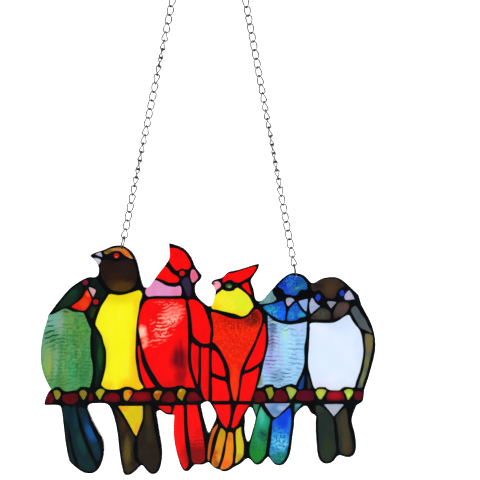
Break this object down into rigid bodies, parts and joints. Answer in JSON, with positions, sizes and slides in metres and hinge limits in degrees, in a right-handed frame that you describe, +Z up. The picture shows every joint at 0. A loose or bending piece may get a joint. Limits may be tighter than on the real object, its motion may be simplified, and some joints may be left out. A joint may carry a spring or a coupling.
{
  "type": "hanging acrylic ornament",
  "caption": "Flat cut-out window ornament: a row of perched birds printed like stained glass on clear acrylic, hung at both ends from one fine curb chain.",
  "frame": {"origin": "the inside top of the chain's middle link, where the hook that it hangs on bears", "axes": "+Z up, front face of the sheet towards -Y, +X to the right as seen from the front"},
  "size_m": [0.2408, 0.01, 0.4801],
  "materials": {
    "printed_acrylic": "gloss, printed on both faces in see-through stained-glass colours with black lines, cut edge clear",
    "silver_steel": "bright silver plating on fine wire"
  },
  "bodies": {
    "root": {"acrylic_panel": "printed_acrylic", "left_jump_ring": "silver_steel", "right_jump_ring": "silver_steel", "chain_left_run": "silver_steel", "chain_right_run": "silver_steel", "chain_top_link": "silver_steel"}
  },
  "joints": []
}
